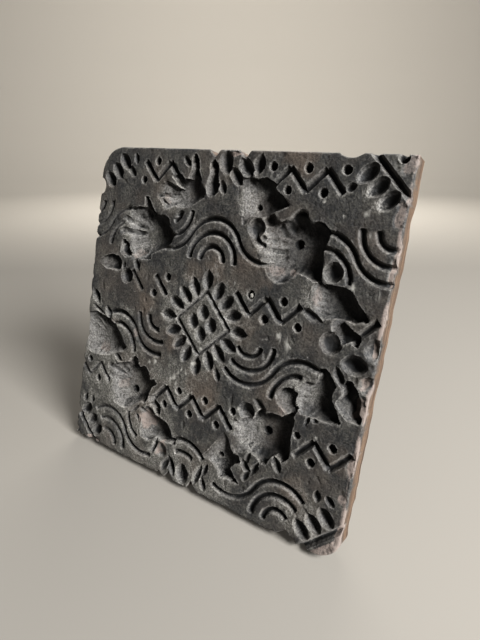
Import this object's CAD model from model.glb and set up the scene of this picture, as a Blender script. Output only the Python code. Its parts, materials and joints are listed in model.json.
"""Carved wooden printing block, dressed piece by piece and stood on a pale studio floor."""
import json
import math

import bmesh
import bpy
import numpy as np
from bpy.props import FloatProperty, FloatVectorProperty, IntProperty, PointerProperty
from mathutils import Matrix, Vector, noise
from mathutils.bvhtree import BVHTree


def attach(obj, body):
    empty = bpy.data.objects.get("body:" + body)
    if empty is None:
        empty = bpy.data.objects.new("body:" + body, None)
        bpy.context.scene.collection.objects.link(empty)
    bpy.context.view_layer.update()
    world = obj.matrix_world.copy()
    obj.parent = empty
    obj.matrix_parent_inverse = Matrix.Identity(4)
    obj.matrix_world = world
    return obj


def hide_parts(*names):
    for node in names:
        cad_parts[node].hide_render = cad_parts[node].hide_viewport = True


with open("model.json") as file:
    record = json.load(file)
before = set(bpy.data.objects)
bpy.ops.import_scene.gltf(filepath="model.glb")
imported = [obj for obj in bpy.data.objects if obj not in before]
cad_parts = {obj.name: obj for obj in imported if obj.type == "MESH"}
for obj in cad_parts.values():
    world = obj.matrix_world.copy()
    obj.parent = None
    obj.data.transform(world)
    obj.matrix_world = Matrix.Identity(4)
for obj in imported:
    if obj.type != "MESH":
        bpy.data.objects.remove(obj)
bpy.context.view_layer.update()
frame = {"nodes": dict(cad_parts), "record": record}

bl_info = {
    "name": "Carved printing block",
    "version": (1, 0, 0),
    "blender": (4, 5, 0),
    "location": "View3D > Sidebar > Block",
    "description": "Dresses a carved wooden printing block and stands it on a studio floor",
    "category": "Object",
}

BATTENS = ("lower_batten", "upper_batten")
NAILS = tuple(sorted(name for name in frame["nodes"] if "nail" in name))

# Places on the face below are in millimetres from its lower left corner.
# Pale spots where the dyed surface has broken away: place, half width, half height, depth, paleness
BROKEN_SPOTS = (
    (227, 200, 2.8, 9, 0.8, 0.8), (227.5, 127, 2, 6, 1.2, 1), (225, 93, 4.5, 8, 1, 1),
    (228, 62, 2, 9, 1, 1), (228.5, 170, 1.5, 10, 1, 1), (227, 225, 6, 6, 1.5, 0.72),
    (226, 40, 4, 5, 0.5, 0.8), (228, 17, 2.6, 8, 0.8, 0.9), (225, 4, 4, 5, 0.4, 0.7),
    (226, 108, 4, 5, 0.3, 0.85), (120, 227.5, 6, 1.5, 0.8, 1), (20, 2, 8, 2, 1, 1),
    (200, 2, 7, 1.5, 0.6, 1), (74, 36, 8, 9, 0, 0.85), (91, 19, 6, 6, 0, 1), (38, 10, 6, 4, 0, 0.58),
    (30, 102, 6, 3, 0, 0.62), (53, 97, 3, 6, 0, 0.7), (44, 56, 6, 8, 0, 0.62), (18, 78, 9, 6, 0, 0.62),
    (160, 161, 6, 4, 0, 0.66), (172, 160, 5, 3, 0, 0.66), (189, 150, 4, 7, 0, 0.66),
    (66, 196, 5, 4, 0, 0.66), (45, 155, 6, 5, 0, 0.62), (180, 77, 5, 4, 0, 0.62))
# Small bites out of the left and the lower edge: place along the edge, half width, depth
LEFT_BITES = (
    (196, 3, 0.8), (148, 8, 0.6), (131, 3, 1.2), (118, 6, 1.4), (96, 4, 0.6), (84, 9, 0.8),
    (70, 3, 1.5), (43, 7, 0.7), (29, 2.5, 1.5), (19, 4, 1.6), (11, 2, 1.2), (4, 3, 2.6))
LOWER_BITES = (
    (3, 3, 2.6), (10, 2.5, 1.8), (18, 3, 1), (34, 5, 0.7), (62, 6, 0.8), (78, 3, 1), (92, 3, 2.2),
    (121, 3.5, 2), (134, 3, 1), (152, 6, 0.8), (187, 4, 0.9), (196, 3, 1.5))
# Patches where the dye has worn through to brown: place, radius
BROWN_SPOTS = (
    (142, 155, 16), (145, 125, 12), (120, 75, 16), (165, 225, 12), (100, 150, 9), (212, 178, 12),
    (90, 100, 9), (196, 30, 10), (60, 120, 9), (222, 60, 9), (118, 152, 10))
# Specks of dried paste: place, radius
PASTE_SPOTS = (
    (146.6, 142.6, 2.2), (155.4, 140.6, 1), (91, 19.5, 3.4), (170.5, 122, 1.4), (172.6, 120.8, 1.4),
    (174.6, 119.6, 1.4), (176.6, 118.3, 1.3), (178.4, 117, 1.1), (209, 198, 1.4), (210, 158.5, 1.6),
    (223.5, 157, 1.2), (95, 75, 1.7), (98, 78.5, 1.2), (97, 70, 1.2), (102, 66, 1), (92, 72.5, 1),
    (89, 67, 0.9), (76, 81, 1.4), (70, 79.5, 1.2), (100, 82, 1.2), (105, 80, 1), (118, 63, 1),
    (133, 148, 1), (86, 130, 0.9), (48, 128, 1), (66, 117, 1.1), (109, 88, 1.2), (114, 100, 1),
    (127, 96, 0.9), (150, 69, 0.9), (184, 203, 1), (197, 196, 0.9), (214, 187, 1), (205, 69, 1),
    (139, 60, 0.9))
# A dot that is plugged with paste: place, half width, half height
PLUGGED_DOT = (146.6, 142.6, 1.8, 1.8)
# Dusty parts of the face: place, radius
DUSTY_SPOTS = (
    (40, 50, 44), (70, 25, 38), (18, 88, 34), (42, 170, 18), (72, 198, 14), (112, 117, 36),
    (97, 74, 22), (154, 173, 10), (157, 58, 13), (134, 200, 9), (115, 14, 24), (205, 20, 18),
    (202, 217, 4), (208, 210, 4), (214, 203, 4), (190, 92, 11), (145, 34, 9), (187, 150, 9),
    (140, 15, 18))
# Dye pooled in the middles of the wide cuts: place, radius, share of the wood that it hides
POOLED_SPOTS = (
    (147, 203, 13, 0.7), (178, 173, 15, 0.5), (208, 150, 13, 0.7), (207, 92, 11, 0.6),
    (174, 60, 13, 0.6), (150, 30, 9, 0.7), (61, 60, 14, 0.6), (89, 34, 10, 0.6), (64, 171, 16, 1),
    (92, 203, 9, 0.7), (24, 92, 13, 0.6))
# Lines that stamping has worn faint: place, radius
FAINT_SPOTS = ((18, 178, 28), (12, 58, 20), (34, 22, 22), (52, 130, 18), (55, 98, 14), (70, 170, 10))
# Lines cut on a slant, with one wide wall in the light: place, radius
SLANTED_SPOTS = ((160, 98, 26), (188, 96, 20), (188, 22, 26), (110, 174, 26), (215, 172, 16))
# Single gouge strokes at the shallow sides of the wide cuts: outer end, inner end, half width
STROKES = (
    (150, 183, 163, 181, 2.7), (149, 177.5, 163, 177, 2.7), (149, 171.5, 163, 172, 2.8),
    (152, 165.5, 164, 169, 2.8), (38, 186, 50, 177, 2.8), (31, 179, 48, 174, 3), (29, 170, 47, 170, 3),
    (34, 160, 49, 166, 3), (43, 152, 52, 162, 3), (32, 66, 48, 62, 3), (33, 58, 49, 58, 3),
    (37, 49, 51, 54, 3), (45, 42, 55, 52, 3), (69, 42, 80, 37, 2.6), (73, 34, 82, 34, 2.6),
    (80, 28, 86, 32, 2.4), (86, 24.5, 83.5, 15.5, 1.2), (149, 59, 163, 59, 2.8),
    (151, 52, 164, 56, 2.8), (158, 45, 167, 53, 2.8), (61, 198, 76, 199, 2.6), (66, 206, 78, 202, 2.4),
    (68, 191, 79, 196, 2.6), (3, 92, 20, 90, 3), (2, 84, 20, 85, 3), (8, 77, 22, 82, 3))
# Middles of the wide cuts, which the flutes of the gouge run towards
GOUGED = (
    (175, 174), (141, 202), (205, 151), (171, 59), (149, 34), (204, 92), (58, 58), (85, 33), (25, 87),
    (58, 172), (85, 200), (220, 96), (211, 133))

# Rings of the plank's sides: share of the way down, share of dye that has run down there
SIDE_RINGS = ((0.06, 0.7), (0.2, 0.2), (0.4, 0.1), (0.6, 0.05), (0.8, 0.0), (1.0, 0.0))
# Marks of wear that the plank's material reads from its mesh; the first lie on the face alone
FACE_MARKS = ("cut_depth", "crest", "brown", "paste", "dusty", "pooled")
SIDE_MARKS = ("tight", "broken", "dyed")
# Depths of the opened grain, the dents and the uneven faces of the battens and the bar, in metres
GRAIN_DROP, DENT_DROP, SWELL_DROP = 0.0001, 0.0009, 0.0004
# Lamps: name, aim, direction, distance, size, power, tint
LAMPS = (
    ("key", (0, 0, 0.11), (0.80, -0.18, 0.56), 1.5, 0.65, 56, (0.985, 1.0, 1.025)),
    ("fill", (0, 0, 0.11), (-0.55, -0.7, 0.45), 1.3, 1.2, 0.3, (0.95, 0.98, 1.0)),
    ("rear", (0, 0, 0.11), (-0.35, 0.8, 0.5), 1.4, 0.9, 10, (1.0, 0.98, 0.95)),
    ("backdrop", (-1.4, 2.1, 0.3), (0.45, -0.65, 0.45), 1.6, 1.0, 40, (1.0, 0.98, 0.95)))


def measure(name, description, metres):
    """Length property that starts from a value in metres."""
    return FloatProperty(name=name, description=description, default=metres, precision=5, unit="LENGTH")


def linear(code):
    """Linear colour with full alpha from an sRGB hex code."""
    shares = [int(code[i:i + 2], 16) / 255 for i in (1, 3, 5)]
    return (*[s / 12.92 if s <= 0.04045 else ((s + 0.055) / 1.055) ** 2.4 for s in shares], 1.0)


def colour(name, description, code):
    """Colour property that starts from a hex code."""
    return FloatVectorProperty(name=name, description=description, default=linear(code),
                               size=4, min=0, max=1, subtype="COLOR")


class BlockSizes(bpy.types.PropertyGroup):
    """Sizes of the wear and finish, which the drawn parts leave out."""

    face_budget: IntProperty(
        name="Face budget", description="Triangles that the plank keeps", default=192000)
    face_cell: measure("Face cell", "Width of a cell of the carved face's mesh", 0.0005)
    upper_corner: measure("Upper left corner", "Radius of the worn upper left corner", 0.020)
    lower_corner: measure("Lower right corner", "Radius of the rounded lower right corner", 0.013)
    vent_radius: measure("Vent radius", "Radius of the air vents drilled through the plank", 0.0028)
    swell: measure("Swell", "Unevenness of the old printing surface", 0.00035)
    tool_marks: measure("Tool marks", "Depth of the gouge marks in the cuts", 0.0009)
    scoop: measure("Scoop", "Extra depth in the middle of wide cuts", 0.0014)
    slant: FloatProperty(
        name="Slant", description="Slope of the floors of the leaves and petals, rise over run",
        default=1.5)
    strokes: measure("Strokes", "Depth of the gouge strokes on the slopes of the wide cuts", 0.0016)
    pits: measure("Pits", "Depth of the small pits all over the face", 0.00015)
    grain_depth: measure("Grain depth", "Depth of the opened grain on the printing surface", 0.00003)
    arris_wear: measure("Worn edge", "Rounding of the plank's edges by wear", 0.0013)
    joint_gap: measure("Joint gap", "Gap round the battens in their housings", 0.0002)
    wood_cell: measure("Wood cell", "Width of a cell of the battens' and the bar's meshes", 0.0012)
    wood_bevel: measure("Wood bevel", "Broken edges of the battens and the bar", 0.0016)
    finger_hollow: measure("Finger hollow", "Depth of the hollow under the bar", 0.005)


class BlockColours(bpy.types.PropertyGroup):
    """Colours of the woods, the iron and the floor."""

    dye: colour("Dye", "Dark dyed printing surface", "#302f2e")
    dye_thin: colour("Thin dye", "Dye worn thin", "#5b5851")
    brown: colour("Brown wood", "Wood where the dye is worn through", "#595047")
    cut: colour("Cut wood", "Greyed wood and dried dye in the cuts", "#777470")
    rim: colour("Rims", "Wood rubbed pale at the edges of the cuts", "#9a968f")
    pit: colour("Pits", "Old dye in the deepest corners", "#141414")
    broken: colour("Broken wood", "Fresh wood where the surface has broken away", "#8f8279")
    paste: colour("Paste", "Specks of dried printing paste", "#a8a49b")
    side: colour("Side wood", "Bare wood of the sides", "#705b48")
    side_dark: colour("Side grain", "Darker grain of the sides", "#3f3025")
    batten: colour("Batten wood", "Aged softwood of the battens", "#7f6852")
    batten_dark: colour("Batten grain", "Darker grain of the battens", "#4c3c2e")
    bar: colour("Bar wood", "Hardwood of the bar", "#6b5340")
    bar_dark: colour("Bar grain", "Darker grain of the bar", "#3a2a1f")
    iron: colour("Iron", "Dark forged iron", "#3b3633")
    rust: colour("Rust", "Rust on the iron", "#6d3f25")
    floor: colour("Floor", "Pale studio floor", "#8c877f")


def places_of(node, matrix):
    """A CAD node's vertices as the rows of an array, after a matrix."""
    mesh = frame["nodes"][node].data
    places = np.empty(len(mesh.vertices) * 3, np.float32)
    mesh.vertices.foreach_get("co", places)
    return places.reshape(-1, 3) @ np.array(matrix.to_3x3()).T + np.array(matrix.translation)


def standing_matrix():
    """From the lying block to the standing one; lying, the face's middle is the origin and looks up."""
    outwards = Vector(frame["record"]["mounts"][0]["axis"]).normalized()
    right = Vector((1, 0, 0))
    turn = Matrix((right, outwards.cross(right), outwards)).to_4x4()
    places = places_of("carved_board", turn)
    low, high = places.min(0), places.max(0)
    middle = Vector(((low[0] + high[0]) / 2, (low[1] + high[1]) / 2, high[2]))
    return turn.inverted() @ Matrix.Translation(middle)


STAND = standing_matrix()
LYING = STAND.inverted()


def lying_box(node):
    """Lowest and highest corner of a CAD node in the lying block."""
    places = places_of(node, LYING)
    return Vector(places.min(0)), Vector(places.max(0))


PLANK_LOW, PLANK_HIGH = lying_box("carved_board")
SIDE = PLANK_HIGH.x - PLANK_LOW.x
THICK = PLANK_HIGH.z - PLANK_LOW.z
LEAN = math.atan2(STAND.col[2].z, -STAND.col[2].y)


def eased(values, start, end):
    """Smooth step from 0 at start to 1 at end."""
    share = np.clip((values - start) / (end - start), 0, 1)
    return share * share * (3 - 2 * share)


def noise_at(places, width, length, seed):
    """Noise from about -1 to 1 at rows of places, wider along the last axis if length is larger."""
    x, y = places[..., 0] / width, places[..., 1] / length
    values = [noise.noise(Vector((a, b, seed))) for a, b in zip(x.ravel(), y.ravel())]
    return np.array(values).reshape(x.shape)


def blurred(values, cells):
    """Values of a grid after three passes of a box blur that reaches some cells to each side."""
    size = 2 * cells + 1
    for axis in (0, 1, 0, 1, 0, 1):
        ends = [(0, 0), (0, 0)]
        ends[axis] = (cells + 1, cells)
        sums = np.moveaxis(np.pad(values, ends, mode="edge").cumsum(axis), axis, 0)
        values = np.moveaxis((sums[size:] - sums[:-size]) / size, 0, axis)
    return values


def neighbours(values, **padding):
    """The four neighbours of each cell of a grid."""
    wide = np.pad(values, 1, **padding)
    return np.stack([wide[:-2, 1:-1], wide[2:, 1:-1], wide[1:-1, :-2], wide[1:-1, 2:]])


def patches_of(mask):
    """Splits a mask into its connected patches."""
    left, found = mask.copy(), []
    while left.any():
        patch = np.zeros_like(left)
        patch[tuple(np.argwhere(left)[0])] = True
        size = 0
        while patch.sum() > size:
            size = patch.sum()
            patch = left & (patch | neighbours(patch).any(0))
        found.append(patch)
        left &= ~patch
    return found


def filled(values):
    """Fills the gaps of a grid from their neighbours."""
    values = values.copy()
    while np.isnan(values).any():
        near = neighbours(values, constant_values=np.nan)
        known = ~np.isnan(near)
        mean = np.where(known, near, 0).sum(0) / np.maximum(known.sum(0), 1)
        values = np.where(np.isnan(values) & known.any(0), mean, values)
    return values


def widened(heights):
    """Heights with every cut one cell wider on all sides."""
    return np.minimum(heights, neighbours(heights, mode="edge").min(0))


def add_node(tree, kind, inputs=None, **settings):
    """Adds a node and gives its first output in use; its inputs are values or other nodes' outputs, and
    its settings are its properties."""
    node = tree.nodes.new("ShaderNode" + kind)
    for name, value in settings.items():
        setattr(node, name, value)
    for key, value in (inputs or {}).items():
        if isinstance(value, bpy.types.NodeSocket):
            tree.links.new(value, node.inputs[key])
        else:
            node.inputs[key].default_value = value
    return next((output for output in node.outputs if output.enabled), None)


def new_material(name):
    """Empty material and its node tree."""
    material = bpy.data.materials.new(name)
    material.use_nodes = True
    material.node_tree.nodes.clear()
    return material, material.node_tree


def dyed_hardwood(colours):
    """Hand-carved hardwood, dyed almost black by years of printing and worn by stamping: matt and
    blotched, brown where the dye has rubbed off, grey with dried dye in the cuts, bare at the sides."""
    material, tree = new_material("dyed_hardwood_hand_carved")
    place = add_node(tree, "TexCoord").node.outputs["Object"]
    # Millimetres along the plank: across, through and up the grain
    upright = add_node(tree, "Mapping", {
        "Vector": place, "Rotation": (LEAN, 0, 0), "Scale": (1000, 1000, 1000)})
    along = add_node(tree, "Mapping", {"Vector": upright, "Scale": (1, 1, 0.03)})
    blotches = add_node(tree, "TexNoise", {
        "Vector": upright, "Scale": 1 / 14, "Detail": 8, "Roughness": 0.68})
    specks = add_node(tree, "TexNoise", {
        "Vector": upright, "Scale": 1 / 1.5, "Detail": 3, "Roughness": 0.65})
    fibres = add_node(tree, "TexNoise", {
        "Vector": along, "Scale": 1 / 1.1, "Detail": 4, "Roughness": 0.65})
    marks = {}
    for name in FACE_MARKS + SIDE_MARKS:
        mark = add_node(tree, "Attribute", attribute_name=name)
        marks[name] = mark.node.outputs["Fac"]

    # Thin and thick dye over the printing surface
    thin = add_node(tree, "Math", {0: specks, 1: 0.8, 2: blotches}, operation="MULTIPLY_ADD")
    thin = add_node(tree, "Math", {0: marks["dusty"], 1: 0.2, 2: thin}, operation="MULTIPLY_ADD")
    thin = add_node(tree, "MapRange", {"Value": thin, "From Min": 0.8, "From Max": 1.16})
    dye = add_node(tree, "Mix", {0: thin, 6: colours.dye, 7: colours.dye_thin}, data_type="RGBA")
    patches = add_node(tree, "TexNoise", {
        "Vector": upright, "Scale": 1 / 34, "Detail": 6, "Roughness": 0.6})
    rubbed = add_node(tree, "Math", {0: marks["brown"], 1: 0.2, 2: patches}, operation="MULTIPLY_ADD")
    rubbed = add_node(tree, "MapRange", {"Value": rubbed, "From Min": 0.47, "From Max": 0.82})
    face = add_node(tree, "Mix", {0: rubbed, 6: dye, 7: colours.brown}, data_type="RGBA")
    # The cuts take less dye and are grey, mottled and darker where a corner is tight
    mottle = add_node(tree, "MapRange", {
        "Value": specks, "From Min": 0.36, "From Max": 0.56, "To Min": 0.1, "To Max": 1})
    bare = add_node(tree, "Math", {0: marks["cut_depth"], 1: mottle}, operation="MULTIPLY")
    faded = add_node(tree, "MapRange", {"Value": marks["dusty"], "To Min": 0.5})
    bare = add_node(tree, "Math", {0: bare, 1: faded}, operation="MULTIPLY")
    # Pooled dye hides the bare wood
    dry = add_node(tree, "MapRange", {"Value": marks["pooled"], "To Min": 1, "To Max": 0})
    bare = add_node(tree, "Math", {0: bare, 1: dry}, operation="MULTIPLY")
    face = add_node(tree, "Mix", {0: bare, 6: face, 7: colours.cut}, data_type="RGBA")
    black = add_node(tree, "MapRange", {
        "Value": marks["tight"], "From Min": 0.3, "From Max": 0.85, "To Max": 0.95})
    face = add_node(tree, "Mix", {0: black, 6: face, 7: colours.pit}, data_type="RGBA")
    # Crests between the cuts are rubbed paler
    rim = add_node(tree, "Math", {0: marks["crest"], 1: specks}, operation="MULTIPLY")
    rim = add_node(tree, "MapRange", {"Value": rim, "From Min": 0.2, "From Max": 0.6, "To Max": 0.42})
    face = add_node(tree, "Mix", {0: rim, 6: face, 7: colours.rim}, data_type="RGBA")
    # Dust and dried paste, caught in grains where the surface is rough
    grains = add_node(tree, "TexNoise", {
        "Vector": upright, "Scale": 1 / 1.1, "Detail": 2, "Roughness": 0.8})
    grain = add_node(tree, "MapRange", {
        "Value": grains, "From Min": 0.42, "From Max": 0.7, "To Max": 0.68})
    dust = add_node(tree, "Math", {0: grain, 1: marks["dusty"]}, operation="MULTIPLY")
    clump = add_node(tree, "MapRange", {"Value": blotches, "From Min": 0.4, "From Max": 0.62})
    dust = add_node(tree, "Math", {0: dust, 1: clump}, operation="MULTIPLY")
    face = add_node(tree, "Mix", {0: dust, 6: face, 7: colours.rim}, data_type="RGBA")
    # Fine grit of dried dye
    gritty = add_node(tree, "MapRange", {
        "Value": grains, "From Min": 0.34, "From Max": 0.66, "To Min": 0.66, "To Max": 1.36})
    face = add_node(tree, "Mix", {0: 1, 6: face, 7: gritty}, data_type="RGBA", blend_type="MULTIPLY")
    # Bare sides and back, with the grain along the plank
    streaks = add_node(tree, "MapRange", {"Value": fibres, "From Min": 0.41, "From Max": 0.59})
    side = add_node(tree, "Mix", {0: streaks, 6: colours.side_dark, 7: colours.side}, data_type="RGBA")
    whole = add_node(tree, "Mix", {0: marks["dyed"], 6: side, 7: face}, data_type="RGBA")
    # Fresh breaks
    torn = add_node(tree, "Math", {0: fibres, 1: specks}, operation="ADD")
    open_wood = add_node(tree, "Math", {0: marks["broken"], 1: torn}, operation="MULTIPLY")
    open_wood = add_node(tree, "MapRange", {
        "Value": open_wood, "From Min": 0.5, "From Max": 0.92, "To Max": 0.9})
    whole = add_node(tree, "Mix", {0: open_wood, 6: whole, 7: colours.broken}, data_type="RGBA")
    whole = add_node(tree, "Mix", {0: marks["paste"], 6: whole, 7: colours.paste}, data_type="RGBA")

    # The face is pitted all over, the sides are open along the grain
    pitted = add_node(tree, "Math", {0: grains, 1: 0.6, 2: specks}, operation="MULTIPLY_ADD")
    height = add_node(tree, "Mix", {0: marks["dyed"], 2: fibres, 3: pitted}, data_type="FLOAT")
    # Real pores are finer than this and would be lost at this size
    bump = add_node(tree, "Bump", {"Height": height, "Strength": 0.8, "Distance": 0.0005})
    matt = add_node(tree, "MapRange", {
        "Value": blotches, "From Min": 0.3, "From Max": 0.7, "To Min": 0.62, "To Max": 0.85})
    surface = add_node(tree, "BsdfPrincipled", {
        "Base Color": whole, "Roughness": matt, "Normal": bump, "IOR": 1.5,
        "Diffuse Roughness": 1.0})
    add_node(tree, "OutputMaterial", {"Surface": surface})
    return material


def aged_wood(name, pale, dark, along_axis, ring, roughness):
    """Old handled timber: growth rings as stripes along the piece and arcs on its ends, streaked and
    grimy, with its fibres standing open."""
    material, tree = new_material(name)
    place = add_node(tree, "TexCoord").node.outputs["Object"]
    upright = add_node(tree, "Mapping", {
        "Vector": place, "Rotation": (LEAN, 0, 0), "Scale": (1000, 1000, 1000)})
    # The tree's middle lies outside the piece, so that the rings run as long stripes
    squeeze = {"X": (0.06, 1, 1), "Z": (1, 1, 0.06)}[along_axis]
    middle = {"X": (0, 60, 30), "Z": (35, 70, 0)}[along_axis]
    along = add_node(tree, "Mapping", {"Vector": upright, "Location": middle, "Scale": squeeze})
    rings = add_node(tree, "TexWave", {
        "Vector": along, "Scale": math.pi / 10 / ring, "Distortion": 9, "Detail": 3,
        "Detail Scale": 0.8}, wave_type="RINGS", rings_direction=along_axis).node.outputs["Fac"]
    bands = add_node(tree, "TexNoise", {
        "Vector": along, "Scale": 1 / 6, "Detail": 4, "Roughness": 0.6, "Distortion": 0.8})
    fibres = add_node(tree, "TexNoise", {
        "Vector": along, "Scale": 1 / 1.3, "Detail": 4, "Roughness": 0.65})
    grime = add_node(tree, "TexNoise", {
        "Vector": upright, "Scale": 1 / 22, "Detail": 6, "Roughness": 0.66})
    # Rings of uneven strength, then the fine fibres, then old dirt
    stripe = add_node(tree, "Math", {0: rings, 1: 0.22, 2: bands}, operation="MULTIPLY_ADD")
    stripe = add_node(tree, "Math", {0: fibres, 1: 0.5, 2: stripe}, operation="MULTIPLY_ADD")
    stripe = add_node(tree, "MapRange", {"Value": stripe, "From Min": 0.6, "From Max": 1.08})
    wood = add_node(tree, "Mix", {0: stripe, 6: dark, 7: pale}, data_type="RGBA")
    stain = add_node(tree, "MapRange", {
        "Value": grime, "From Min": 0.46, "From Max": 0.7, "To Max": 0.8})
    wood = add_node(tree, "Mix", {0: stain, 6: wood, 7: dark}, data_type="RGBA")
    bump = add_node(tree, "Bump", {"Height": fibres, "Strength": 0.45, "Distance": 0.0003})
    surface = add_node(tree, "BsdfPrincipled", {
        "Base Color": wood, "Roughness": roughness, "Normal": bump, "IOR": 1.5})
    add_node(tree, "OutputMaterial", {"Surface": surface})
    return material


def forged_iron(colours):
    """Hammered iron nails, rusted in damp dye: dull dark metal under a rough brown skin."""
    material, tree = new_material("forged_iron_rusted")
    place = add_node(tree, "TexCoord").node.outputs["Object"]
    rusty = add_node(tree, "TexNoise", {"Vector": place, "Scale": 450, "Detail": 5, "Roughness": 0.65})
    share = add_node(tree, "MapRange", {"Value": rusty, "From Min": 0.4, "From Max": 0.6})
    skin = add_node(tree, "Mix", {0: share, 6: colours.iron, 7: colours.rust}, data_type="RGBA")
    metal = add_node(tree, "MapRange", {"Value": share, "To Min": 0.8, "To Max": 0.1})
    rough = add_node(tree, "MapRange", {"Value": share, "To Min": 0.5, "To Max": 0.9})
    bump = add_node(tree, "Bump", {"Height": rusty, "Strength": 0.6, "Distance": 0.0004})
    surface = add_node(tree, "BsdfPrincipled", {
        "Base Color": skin, "Metallic": metal, "Roughness": rough,
        "Normal": bump})
    add_node(tree, "OutputMaterial", {"Surface": surface})
    return material


def matt_paper(colours):
    """Rolled studio paper, lit through from below: even, pale and without gloss."""
    material, tree = new_material("studio_paper_rolled")
    surface = add_node(tree, "BsdfPrincipled", {
        "Base Color": colours.floor, "Roughness": 0.95, "Specular IOR Level": 0.2,
        "Emission Color": colours.floor, "Emission Strength": 0.15})
    add_node(tree, "OutputMaterial", {"Surface": surface})
    return material


def add_piece(name, mesh, material):
    """Links a mesh at the origin as an object with one material."""
    piece = bpy.data.objects.new(name, mesh)
    mesh.materials.clear()
    mesh.materials.append(material)
    bpy.context.scene.collection.objects.link(piece)
    return piece


def outline_places(tree, sizes, count):
    """Places of the face's grid, drawn in to the plank's worn outline, and the bites' share of that."""
    half = SIDE / 2
    # How far in the grid is drawn along, how far outside a ray starts, and how far it looks
    reach, margin, sight = 0.012, 0.006, 0.03
    line = np.linspace(-half, half, count)
    plain = np.stack(np.meshgrid(line, line))
    places = plain.copy()
    # Two corners are squeezed from a square onto a quarter of a disc
    for right, up, radius in ((-1, 1, sizes.upper_corner), (1, -1, sizes.lower_corner)):
        centre = np.array((right, up))[:, None, None] * (half - radius)
        offset = places - centre
        inside = (offset[0] * right > 0) & (offset[1] * up > 0)
        size = np.maximum(np.hypot(*offset), 1e-9)
        squeeze = np.where(inside, np.abs(offset).max(0) / size, 1)
        places = centre + offset * squeeze
    # Notches: rays from outside find how far the edge lies in, close behind the face's corners
    for axis, end in ((0, 0), (0, -1), (1, 0), (1, -1)):
        sign = -1 if end == 0 else 1
        border = places[:, end, :] if axis == 1 else places[:, :, end]
        inward = Vector((0, 0, 0))
        inward[axis] = -sign
        lies_in = np.zeros(count)
        for i, (u, v) in enumerate(border.T):
            start = Vector((u, v, -0.75 * THICK)) * 0.9995 - inward * margin
            hit = tree.ray_cast(start, inward, sight)
            if hit[0] is not None:
                lies_in[i] = max(hit[3] - margin, 0)
        fade = np.clip(1 - (half - sign * plain[axis]) / reach, 0, 1)
        places[axis] -= sign * fade * (lies_in[None, :] if axis == 1 else lies_in[:, None])
    # Bites: chips off the face alone
    bites = np.zeros_like(places)
    for axis, table in enumerate((LEFT_BITES, LOWER_BITES)):
        lies_in = sum(depth / 1000 * eased(1 - np.abs((line + half) * 1000 - middle) / wide, 0, 1)
                      for middle, wide, depth in table)
        fade = np.clip(1 - (half + plain[axis]) / reach, 0, 1)
        bites[axis] = fade * (lies_in[None, :] if axis == 1 else lies_in[:, None])
    return places + bites, bites


def carved_heights(tree, places):
    """Height of the carved face at each place; nan where a ray goes through."""
    above, down = 0.002, Vector((0, 0, -1))
    heights = np.full(places.shape[1:], np.nan)
    for index in np.ndindex(heights.shape):
        hit = tree.ray_cast(Vector((places[0][index], places[1][index], above)), down, THICK)
        if hit[0] is not None:
            heights[index] = hit[0].z
    return heights


def spot_share(places, spot, ragged):
    """1 at a spot's middle and 0 beyond its ragged edge."""
    u, v, wide, high = (value / 1000 for value in spot)
    off = np.hypot((places[0] + SIDE / 2 - u) / wide, (places[1] + SIDE / 2 - v) / high)
    return eased(1.2 - off + 0.5 * ragged, 0, 0.6)


def spots_share(places, table, ragged):
    """Largest share of a table's round spots at each place."""
    shares = [spot_share(places, (u, v, radius, radius), ragged) for u, v, radius in table]
    return np.max(shares, axis=0)


def gouge_strokes(places, rows):
    """Flutes from 0 to 1 that run in from the rims to the middles of the wide cuts."""
    away = places[:, None] - (np.array(GOUGED).T / 1000 - SIDE / 2)[:, :, None, None]
    nearest = np.hypot(*away).argmin(0)[None, None]
    across, up = np.take_along_axis(away, nearest, 1)[:, 0]
    turn = np.arctan2(up, across) + 0.25 * noise_at(rows, 0.012, 0.012, 2.9)
    # They start clear of the middle, and only at its left
    flutes = np.abs(np.sin(9 * turn))
    return flutes * eased(np.hypot(across, up), 0.005, 0.016) * eased(-across, -0.004, 0.006)


def slanted(heights, cell, slope):
    """Heights with a ramp that runs down from every lower left rim towards the upper right."""
    ramp = heights.copy()
    longest = 14
    for step in range(1, longest + 1):
        right, up = round(0.8 * step), round(0.6 * step)
        moved = np.full_like(heights, -1)
        moved[up:, right:] = heights[:len(heights) - up, :len(heights) - right]
        ramp = np.maximum(ramp, moved - step * cell * slope)
    return ramp


def stroke_floor(places, stroke):
    """Floor of one gouge stroke, which deepens from its rounded outer end to its inner end."""
    u, v, inner_u, inner_v, wide = (value / 1000 for value in stroke)
    right, up = inner_u - u, inner_v - v
    length = math.hypot(right, up)
    across, rise = places[0] + SIDE / 2 - u, places[1] + SIDE / 2 - v
    share = (across * right + rise * up) / length ** 2
    off = np.hypot((across * up - rise * right) / length, np.minimum(share, 0) * length) / wide
    entry, fall = 0.0022, 0.0034
    deep = (entry + fall * np.clip(share, 0, 1)) * (1 - eased(share, 0.9, 1.4))
    return -deep * np.maximum(1 - off ** 2, 0)


def cut_share(heights):
    """0 on the printing surface and 1 in the cuts."""
    return eased(-heights, 0.0004, 0.0025)


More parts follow.
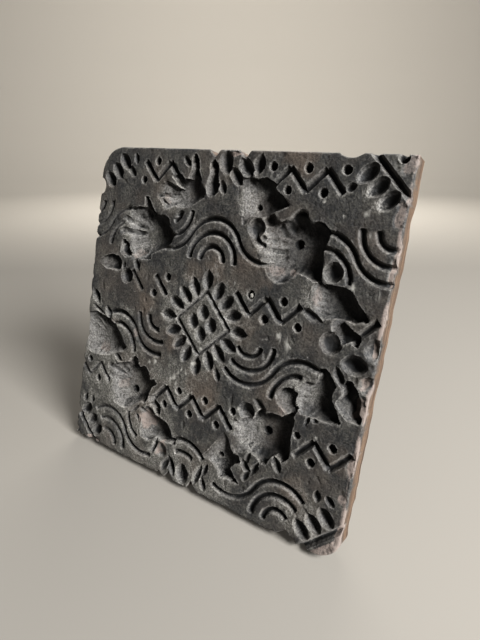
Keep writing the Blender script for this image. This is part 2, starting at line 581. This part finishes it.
def shaped_cuts(places, heights, rugged, cell, sizes):
    """Cuts as the gouge and the wear left them, with the shares of wide bowls and of slanted floors."""
    cut = cut_share(heights)
    core = (blurred(cut, 7) > 0.86).astype(float)
    round_core = blurred(core, 9)
    wide = eased(round_core, 0.02, 0.2) * cut
    # The small cuts are worn a little wider, and the leaves and petals are cut on a slant
    leafy = eased(blurred((blurred(cut, 3) > 0.78).astype(float), 4), 0.02, 0.2)
    heights = np.where(round_core > 0.02, heights, widened(heights))
    heights = heights * (1 - 0.5 * spots_share(places, FAINT_SPOTS, rugged) * (1 - leafy))
    sloping = np.maximum(leafy, spots_share(places, SLANTED_SPOTS, rugged)) * (1 - wide)
    heights = heights + (slanted(heights, cell, sizes.slant) - heights) * sloping
    # The shallow sides of the wide cuts run out into the face without a step
    bowl = np.where(wide > 0, heights, 0)
    shallow = 1 - eased(blurred((bowl < -0.0024).astype(float), 6), 0, 0.06)
    heights = heights + (blurred(bowl, 4) - bowl) * shallow
    for stroke in STROKES:
        heights = np.minimum(heights, stroke_floor(places, stroke))
    return heights, wide, sloping


def edge_drop(rows, cell, sizes):
    """How far the face falls away at the plank's own edges, which are rounded and nicked."""
    index = np.minimum(np.arange(len(rows)), np.arange(len(rows))[::-1])
    inside = np.minimum(index[:, None], index[None, :]) * cell
    arris = sizes.arris_wear * (1 + 0.7 * noise_at(rows, 0.009, 0.009, 6.8))
    short = np.clip(arris - inside, 0, None)
    return arris - np.sqrt(np.maximum(arris ** 2 - short ** 2, 0))


def worn_heights(places, heights, cell, sizes):
    """Adds wear and tool marks to the carved face, and says where it is broken, rubbed, brown, pasty,
    dusty or soaked with dye."""
    rows = np.stack((places[0], places[1]), axis=-1)
    rugged = np.array([noise.fractal(Vector((u, v, 9.1)) / 0.006, 0.8, 2.1, 3)
                       for u, v in rows.reshape(-1, 2)]).reshape(heights.shape)
    heights, wide, sloping = shaped_cuts(places, heights, rugged, cell, sizes)
    cut = cut_share(heights)
    hole_floor = -0.0073
    worn = heights + sizes.swell * noise_at(rows, 0.036, 0.05, 1.7)
    # Wide cuts are bowls: their walls run out into the floor, but for the holes in it
    worn += np.maximum(blurred(heights, 5) - heights, 0) * wide * (heights > hole_floor)
    worn -= sizes.scoop * eased(blurred(cut, 10), 0.5, 0.95) * wide
    worn -= sizes.strokes * gouge_strokes(places, rows) * wide * (0.6 + 0.4 * rugged)
    # Gouge marks: shallow scallops side by side
    scallops = np.array([noise.voronoi(Vector((u / 0.0042, v / 0.0075, 3.3)))[0][0]
                         for u, v in rows.reshape(-1, 2)]).reshape(cut.shape)
    worn += cut * sizes.tool_marks * (scallops - 0.45)
    # Opened grain, and a few knocks on the printing surface
    knock = 0.0005
    worn -= (1 - cut) * sizes.grain_depth * eased(noise_at(rows, 0.0011, 0.022, 2.4), 0.05, 0.5)
    worn -= (1 - cut) * knock * eased(noise_at(rows, 0.0045, 0.0055, 4.2), 0.42, 0.75)
    # Pits all over, where paste and knocks have eaten the surface
    worn -= sizes.pits * eased(noise_at(rows, 0.0019, 0.0021, 8.8), 0.1, 0.55)
    # Crests are rubbed down, some more than others
    rub = 0.6 * eased(noise_at(rows, 0.018, 0.018, 5.6), 0, 0.6)
    worn -= np.maximum(worn - blurred(worn, 1), 0) * rub
    worn -= edge_drop(rows, cell, sizes)
    broken = np.zeros_like(worn)
    for *spot, bite, pale in BROKEN_SPOTS:
        share = spot_share(places, spot, rugged)
        broken = np.maximum(broken, pale * share)
        worn -= share * bite / 1000
    # One dot is plugged with dried paste
    plug = spot_share(places, PLUGGED_DOT, rugged)
    brim, sunk = 0.0003, 0.004
    worn = np.where(plug > 0, np.maximum(worn, -brim - sunk * (1 - plug)), worn)
    # The lower right corner, beyond its slanting bar, and the right edge have lost their dye
    corner = eased(places[0] - places[1], SIDE - 0.0175, SIDE - 0.0165)
    broken = np.maximum(broken, 0.86 * corner * (1 - eased(-heights, 0.0012, 0.002)))
    right = eased(places[0], SIDE / 2 - 0.004, SIDE / 2 - 0.001)
    broken = np.maximum(broken, right * eased(noise_at(rows, 0.004, 0.02, 7.3), -0.45, 0.15))
    # Rubbed crests, and the upper walls of the slanted lines
    walls = eased(-worn, 0.0001, 0.0003) * (1 - eased(-worn, 0.0009, 0.0015)) * sloping
    crest = np.maximum(np.clip((worn - blurred(worn, 1)) / 0.0004, 0, 1), walls)
    spots = {"broken": broken, "crest": crest}
    for name, table in (("brown", BROWN_SPOTS), ("paste", PASTE_SPOTS), ("dusty", DUSTY_SPOTS)):
        spots[name] = spots_share(places, table, rugged)
    pools = [hides * spots_share(places, [spot], rugged) for *spot, hides in POOLED_SPOTS]
    spots["pooled"] = np.max(pools, axis=0)
    return worn, spots


def with_modifier(name, bm, kind, **settings):
    """Mesh of a bmesh after one modifier."""
    full = bpy.data.meshes.new(name)
    bm.to_mesh(full)
    bm.free()
    blank = bpy.data.objects.new(name, full)
    bpy.context.scene.collection.objects.link(blank)
    modifier = blank.modifiers.new(kind.capitalize(), kind)
    for setting, value in settings.items():
        setattr(modifier, setting, value)
    shown = blank.evaluated_get(bpy.context.evaluated_depsgraph_get())
    mesh = bpy.data.meshes.new_from_object(shown)
    bpy.data.objects.remove(blank)
    mesh.name = name
    return mesh


def thinned(name, bm, budget):
    """Mesh of a bmesh, thinned to a number of triangles where it is flat, with its creases sharp."""
    crease = math.radians(42)
    bmesh.ops.triangulate(bm, faces=bm.faces)
    mesh = with_modifier(name, bm, "DECIMATE", ratio=min(budget / len(bm.faces), 1))
    bm = bmesh.new()
    bm.from_mesh(mesh)
    for face in bm.faces:
        face.smooth = True
    for line in bm.edges:
        line.smooth = line.calc_face_angle(0) < crease
    bm.to_mesh(mesh)
    bm.free()
    return mesh


def drawn_out(bm, edges):
    """Extrudes open edges, and gives the new vertices and the new open edges."""
    made = bmesh.ops.extrude_edge_only(bm, edges=edges)["geom"]
    verts = [item for item in made if isinstance(item, bmesh.types.BMVert)]
    open_edges = [item for item in made if isinstance(item, bmesh.types.BMEdge) and item.is_boundary]
    return verts, open_edges


def turned(section, steps):
    """Smooth shape turned about the upright axis from a section of radii and heights."""
    bm = bmesh.new()
    points = [bm.verts.new((radius, 0, height)) for radius, height in section]
    lines = [bm.edges.new(pair) for pair in zip(points, points[1:])]
    bmesh.ops.spin(bm, geom=points + lines, cent=(0, 0, 0), axis=(0, 0, 1), angle=2 * math.pi,
                   steps=steps, use_merge=True)
    bmesh.ops.remove_doubles(bm, verts=bm.verts, dist=0.00001)
    for face in bm.faces:
        face.smooth = True
    return bm


class BLOCK_OT_plank(bpy.types.Operator):
    """Adds the carved plank: the drawn carving as a fine mesh, worn, chipped and gouge-marked"""

    bl_idname = "printing_block.plank"
    bl_label = "Carved plank"

    def execute(self, context):
        sizes = context.scene.block_sizes
        node = frame["nodes"]["carved_board"]
        tree = BVHTree.FromPolygons(
            [Vector(place) for place in places_of("carved_board", LYING)],
            [tuple(face.vertices) for face in node.data.polygons])
        bm = bmesh.new()
        cells = round(SIDE / sizes.face_cell)
        bmesh.ops.create_grid(bm, x_segments=cells, y_segments=cells, size=SIDE / 2)
        count = round(math.sqrt(len(bm.verts)))
        cell = SIDE / (count - 1)
        places, bites = outline_places(tree, sizes, count)
        heights = carved_heights(tree, places)
        edge = np.ones_like(heights, bool)
        edge[1:-1, 1:-1] = False
        vents = patches_of(np.isnan(heights) & ~edge)
        worn, spots = worn_heights(places, filled(heights), cell, sizes)
        # Tight corners lie well below what is round them
        tight = np.clip((blurred(worn, 6) - worn) / 0.0014, 0, 1)
        values = {"cut_depth": eased(-worn, 0.0004, 0.0016), "dyed": np.ones_like(worn), "arris": worn,
                  "bite_across": bites[0], "bite_up": bites[1], "tight": tight, **spots}
        layers = {name: bm.verts.layers.float.new(name) for name in values}
        # The cells in and round each vent are drawn onto its rim
        rim = {}
        vents = [places[:, patch].mean(1) for patch in vents]
        for middle in vents:
            away = np.hypot(*(places - middle[:, None, None]))
            for row, column in np.argwhere(away < sizes.vent_radius + 0.3 * cell):
                rim[(row, column)] = middle
        for vert in bm.verts:
            column, row = (round((value + SIDE / 2) / cell) for value in vert.co.xy)
            u, v = places[:, row, column]
            if (row, column) in rim:
                middle = Vector(rim[(row, column)])
                u, v = middle + (Vector((u, v)) - middle).normalized() * sizes.vent_radius
                vert.tag = True
            vert.co = (u, v, worn[row, column])
            for name, layer in layers.items():
                vert[layer] = values[name][row, column]
            if vert.tag:
                vert[layers["tight"]] = 1
        inner = [face for face in bm.faces if all(vert.tag for vert in face.verts)]
        bmesh.ops.delete(bm, geom=inner, context="FACES")
        self.close_plank(bm, layers, sizes, [Vector(middle) for middle in vents])
        # These only guided the sides
        for name in ("arris", "bite_across", "bite_up"):
            bm.verts.layers.float.remove(bm.verts.layers.float[name])
        mesh = thinned("carved_plank", bm, sizes.face_budget)
        mesh.transform(STAND)
        piece = add_piece("carved_plank", mesh, dyed_hardwood(context.scene.block_colours))
        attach(piece, "root")
        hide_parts("carved_board")
        return {"FINISHED"}

    def close_plank(self, bm, layers, sizes, vents):
        """Draws the sides down from the face in rings, and closes the back round the housings."""
        rim = [edge for edge in bm.edges if edge.is_boundary]
        low = sizes.arris_wear * 0.5 - THICK
        before = 0
        for share, dyed in SIDE_RINGS:
            # The bites are chips off the face, and half way down the sides are whole again
            whole = min(2 * share, 1) - min(2 * before, 1)
            before = share
            verts, rim = drawn_out(bm, rim)
            for vert in verts:
                u, v, top = vert.co.x, vert.co.y, vert[layers["arris"]]
                vert.co.z = top + (low - top) * share
                outside = max(abs(u), abs(v)) > SIDE * 0.4
                if outside:
                    # Sawn sides, a little uneven
                    ragged = noise.noise(Vector((u, v, vert.co.z * 0.4)) / 0.008)
                    vert.co.xy *= 1 + 0.0012 * (ragged - 0.2)
                    vert.co.x -= vert[layers["bite_across"]] * whole
                    vert.co.y -= vert[layers["bite_up"]] * whole
                else:
                    middle = min(vents, key=lambda vent: (vent - vert.co.xy).length)
                    # Dye has clogged the vents towards the back
                    narrow = sizes.vent_radius * min(1, 1.6 - 1.3 * share)
                    vert.co.xy = middle + (vert.co.xy - middle).normalized() * narrow
                vert[layers["dyed"]] = dyed if outside else 1
                vert[layers["tight"]] = 0 if outside else 1
                vert[layers["broken"]] *= 0.7
                for name in FACE_MARKS:
                    vert[layers[name]] = 0
        verts, rim = drawn_out(bm, rim)
        for vert in verts:
            vert.co.z = -THICK
            vert.co.xy *= 1 - sizes.arris_wear * 0.5 / (SIDE / 2)
            vert[layers["dyed"]] = 0
        housings = []
        for name in BATTENS:
            first, last = lying_box(name)
            gap = sizes.joint_gap
            corners = [bm.verts.new((u, v, -THICK)) for u, v in (
                (first.x - gap, first.y - gap), (last.x + gap, first.y - gap),
                (last.x + gap, last.y + gap), (first.x - gap, last.y + gap))]
            housings.append([bm.edges.new((corners[i - 1], corners[i])) for i in range(4)])
        bmesh.ops.triangle_fill(bm, use_beauty=True, edges=rim + sum(housings, []), normal=(0, 0, -1))
        for name, lines in zip(BATTENS, housings):
            verts, floor = drawn_out(bm, lines)
            for vert in verts:
                vert.co.z = lying_box(name)[1].z
            bmesh.ops.contextual_create(bm, geom=floor)
        bmesh.ops.recalc_face_normals(bm, faces=bm.faces)


def wooden_mesh(name, outline, shift, sizes):
    """Draws an outline out into a solid with broken edges, as an even fine mesh."""
    bm = bmesh.new()
    face = bm.faces.new([bm.verts.new(point) for point in outline])
    made = bmesh.ops.extrude_face_region(bm, geom=[face])["geom"]
    moved = [item for item in made if isinstance(item, bmesh.types.BMVert)]
    bmesh.ops.translate(bm, vec=shift, verts=moved)
    bmesh.ops.recalc_face_normals(bm, faces=bm.faces)
    sharp = [edge for edge in bm.edges if edge.calc_face_angle(0) > math.radians(60)]
    bmesh.ops.bevel(bm, geom=sharp, offset=sizes.wood_bevel, offset_type="OFFSET", segments=2,
                    profile=0.5, affect="EDGES", material=-1, clamp_overlap=True)
    return with_modifier(name, bm, "REMESH", mode="VOXEL", voxel_size=sizes.wood_cell)


def weathered(mesh, stretch, seed):
    """Wears a wooden mesh: opened grain along one axis, dents and uneven faces."""
    places = np.empty(len(mesh.vertices) * 3, np.float32)
    mesh.vertices.foreach_get("co", places)
    places = places.reshape(-1, 3)
    normals = np.array([vertex.normal for vertex in mesh.vertices])
    drop = np.zeros(len(places))
    for i, place in enumerate(places):
        spot = Vector(place)
        along = Vector(value / length for value, length in zip(spot, stretch))
        grain = noise.noise(along / 0.0024 + Vector((0, 0, seed)))
        dent = noise.noise(spot / 0.009 + Vector((seed, 0, 0)))
        swell = noise.noise(spot / 0.03 + Vector((0, seed, 0)))
        drop[i] = GRAIN_DROP * grain + DENT_DROP * max(dent - 0.3, 0) + SWELL_DROP * swell
    places = places - normals * drop[:, None]
    mesh.vertices.foreach_set("co", places.astype(np.float32).ravel())
    mesh.transform(STAND)
    mesh.shade_smooth()
    return mesh


class BLOCK_OT_battens(bpy.types.Operator):
    """Adds the two battens across the back, notched for the bar"""

    bl_idname = "printing_block.battens"
    bl_label = "Battens"

    def execute(self, context):
        sizes, colours = context.scene.block_sizes, context.scene.block_colours
        wood = aged_wood("softwood_sawn_and_aged", colours.batten, colours.batten_dark, "X", 3.2, 0.75)
        bar_low, bar_high = lying_box("grip_bar")
        for seed, name in enumerate(BATTENS):
            low, high = lying_box(name)
            left, right = bar_low.x - sizes.joint_gap, bar_high.x + sizes.joint_gap
            outline = [(u, low.y, w) for u, w in (
                (low.x, high.z), (low.x, low.z), (left, low.z), (left, bar_high.z),
                (right, bar_high.z), (right, low.z), (high.x, low.z), (high.x, high.z))]
            mesh = wooden_mesh(name + "_worn", outline, (0, high.y - low.y, 0), sizes)
            piece = add_piece(name + "_worn", weathered(mesh, (14, 1, 1), 3.0 + seed), wood)
            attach(piece, "root")
            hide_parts(name)
        return {"FINISHED"}


class BLOCK_OT_bar(bpy.types.Operator):
    """Adds the grip bar: rounded outside, hollowed inside, polished by hands"""

    bl_idname = "printing_block.bar"
    bl_label = "Grip bar"

    def execute(self, context):
        sizes, colours = context.scene.block_sizes, context.scene.block_colours
        low, high = lying_box("grip_bar")
        radius = 0.011
        outline = [(low.x, low.y, high.z), (high.x, low.y, high.z)]
        corners = ((high.x - radius, range(0, -91, -15)), (low.x + radius, range(-90, -181, -15)))
        for side, turns in corners:
            for turn in turns:
                angle = math.radians(turn)
                across, out = radius * math.cos(angle), radius * (1 + math.sin(angle))
                outline.append((side + across, low.y, low.z + out))
        mesh = wooden_mesh("grip_bar_worn", outline, (0, high.y - low.y, 0), sizes)
        inner = lying_box("upper_batten")[0].y
        for vertex in mesh.vertices:
            # An arc between the battens, deepest in the middle and gone at the outer side; the middle is
            # also worn a little slimmer
            arch = max(1 - (vertex.co.y / inner) ** 2, 0)
            share = max((vertex.co.z - low.z) / (high.z - low.z), 0)
            vertex.co.z -= sizes.finger_hollow * arch * share ** 3
            vertex.co.x *= 1 - 0.05 * arch * arch
        wood = aged_wood("hardwood_hand_polished", colours.bar, colours.bar_dark, "Z", 2.4, 0.42)
        piece = add_piece("grip_bar_worn", weathered(mesh, (1, 14, 1), 7.0), wood)
        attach(piece, "root")
        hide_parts("grip_bar")
        return {"FINISHED"}


class BLOCK_OT_nails(bpy.types.Operator):
    """Adds the twelve forged nails with uneven hammered heads"""

    bl_idname = "printing_block.nails"
    bl_label = "Nails"

    def execute(self, context):
        iron = forged_iron(context.scene.block_colours)
        for name in NAILS:
            low, high = lying_box(name)
            middle, head = (low + high) / 2, (high.x - low.x) / 2
            length, point = high.z - low.z, 0.006
            # Section of a nail from the crown of its head to its point: radius, distance from the crown
            section = [(0, 0), (head * 0.45, head * 0.06), (head * 0.85, head * 0.3),
                       (head * 0.98, head * 0.44), (head, head * 0.5), (head * 0.38, head * 0.53),
                       (head * 0.37, length - point), (0, length)]
            bm = turned(section, 18)
            # Hammered heads, none of them quite round or flat
            for vert in bm.verts:
                if vert.co.z < head:
                    spot = (vert.co + middle) / 0.003
                    vert.co.xy *= 0.95 + 0.07 * noise.noise(spot)
                    vert.co.z += 0.0003 * noise.noise(spot + Vector((5, 5, 5))) * (vert.co.z < head * 0.4)
            bmesh.ops.recalc_face_normals(bm, faces=bm.faces)
            bmesh.ops.translate(bm, vec=(middle.x, middle.y, low.z), verts=bm.verts)
            bm.transform(STAND)
            mesh = bpy.data.meshes.new(name + "_forged")
            bm.to_mesh(mesh)
            bm.free()
            piece = add_piece(name + "_forged", mesh, iron)
            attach(piece, "root")
            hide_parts(name)
        return {"FINISHED"}


class BLOCK_OT_stage(bpy.types.Operator):
    """Adds the pale floor and its curved backdrop, the studio lights and the camera"""

    bl_idname = "printing_block.stage"
    bl_label = "Stage"

    def execute(self, context):
        scene = context.scene
        wall, bend, top = 2.6, 0.8, 2.4
        section = [(0, 0), (wall - bend, 0)]
        for turn in range(15, 91, 15):
            angle = math.radians(turn)
            section.append((wall - bend + bend * math.sin(angle), bend * (1 - math.cos(angle))))
        section.append((wall, top))
        bm = turned(section, 72)
        mesh = bpy.data.meshes.new("studio_floor")
        bm.to_mesh(mesh)
        bm.free()
        floor = add_piece("studio_floor", mesh, matt_paper(scene.block_colours))
        # The floor throws no light back at the block, so that the cuts stay dark
        floor.visible_diffuse = False

        # Key low over the face; a weak fill; one for the back of the block and one for the backdrop
        for name, aim, direction, away, size, power, tint in LAMPS:
            light = bpy.data.lights.new(name, "AREA")
            light.size = size
            light.energy = power
            light.color = tint
            lamp = bpy.data.objects.new(name, light)
            towards = Vector(direction).normalized()
            lamp.location = Vector(aim) + towards * away
            lamp.rotation_euler = towards.to_track_quat("Z", "Y").to_euler()
            lamp.visible_camera = False
            scene.collection.objects.link(lamp)
        world = bpy.data.worlds.new("studio")
        world.use_nodes = True
        background = world.node_tree.nodes["Background"]
        background.inputs["Color"].default_value = (0.85, 0.88, 0.92, 1)
        background.inputs["Strength"].default_value = 0.04
        scene.world = world

        # Seen from the right and a little above, close to the face, as in the photograph
        lens = bpy.data.cameras.new("camera")
        lens.lens = 25.76
        lens.sensor_width = 36
        camera = bpy.data.objects.new("camera", lens)
        camera.location = STAND.translation + Vector((0.1747, -0.2209, 0.1210))
        camera.rotation_euler = (math.radians(67.61), 0, math.radians(33.53))
        scene.collection.objects.link(camera)
        scene.camera = camera
        scene.view_settings.view_transform = "Standard"
        scene.view_settings.look = "Medium High Contrast"
        return {"FINISHED"}


class BLOCK_PT_sidebar(bpy.types.Panel):
    """Lists the pieces of the block"""

    bl_idname = "BLOCK_PT_sidebar"
    bl_label = "Printing block"
    bl_space_type = "VIEW_3D"
    bl_region_type = "UI"
    bl_category = "Block"

    def draw(self, context):
        for operator in OPERATORS:
            self.layout.operator(operator.bl_idname)


OPERATORS = (BLOCK_OT_plank, BLOCK_OT_battens, BLOCK_OT_bar, BLOCK_OT_nails, BLOCK_OT_stage)
CLASSES = (BlockSizes, BlockColours, *OPERATORS, BLOCK_PT_sidebar)


def register():
    for item in CLASSES:
        bpy.utils.register_class(item)
    bpy.types.Scene.block_sizes = PointerProperty(type=BlockSizes)
    bpy.types.Scene.block_colours = PointerProperty(type=BlockColours)


def unregister():
    del bpy.types.Scene.block_colours
    del bpy.types.Scene.block_sizes
    for item in reversed(CLASSES):
        bpy.utils.unregister_class(item)


def main():
    register()
    bpy.ops.printing_block.plank()
    bpy.ops.printing_block.battens()
    bpy.ops.printing_block.bar()
    bpy.ops.printing_block.nails()
    bpy.ops.printing_block.stage()


if __name__ == "__main__":
    main()
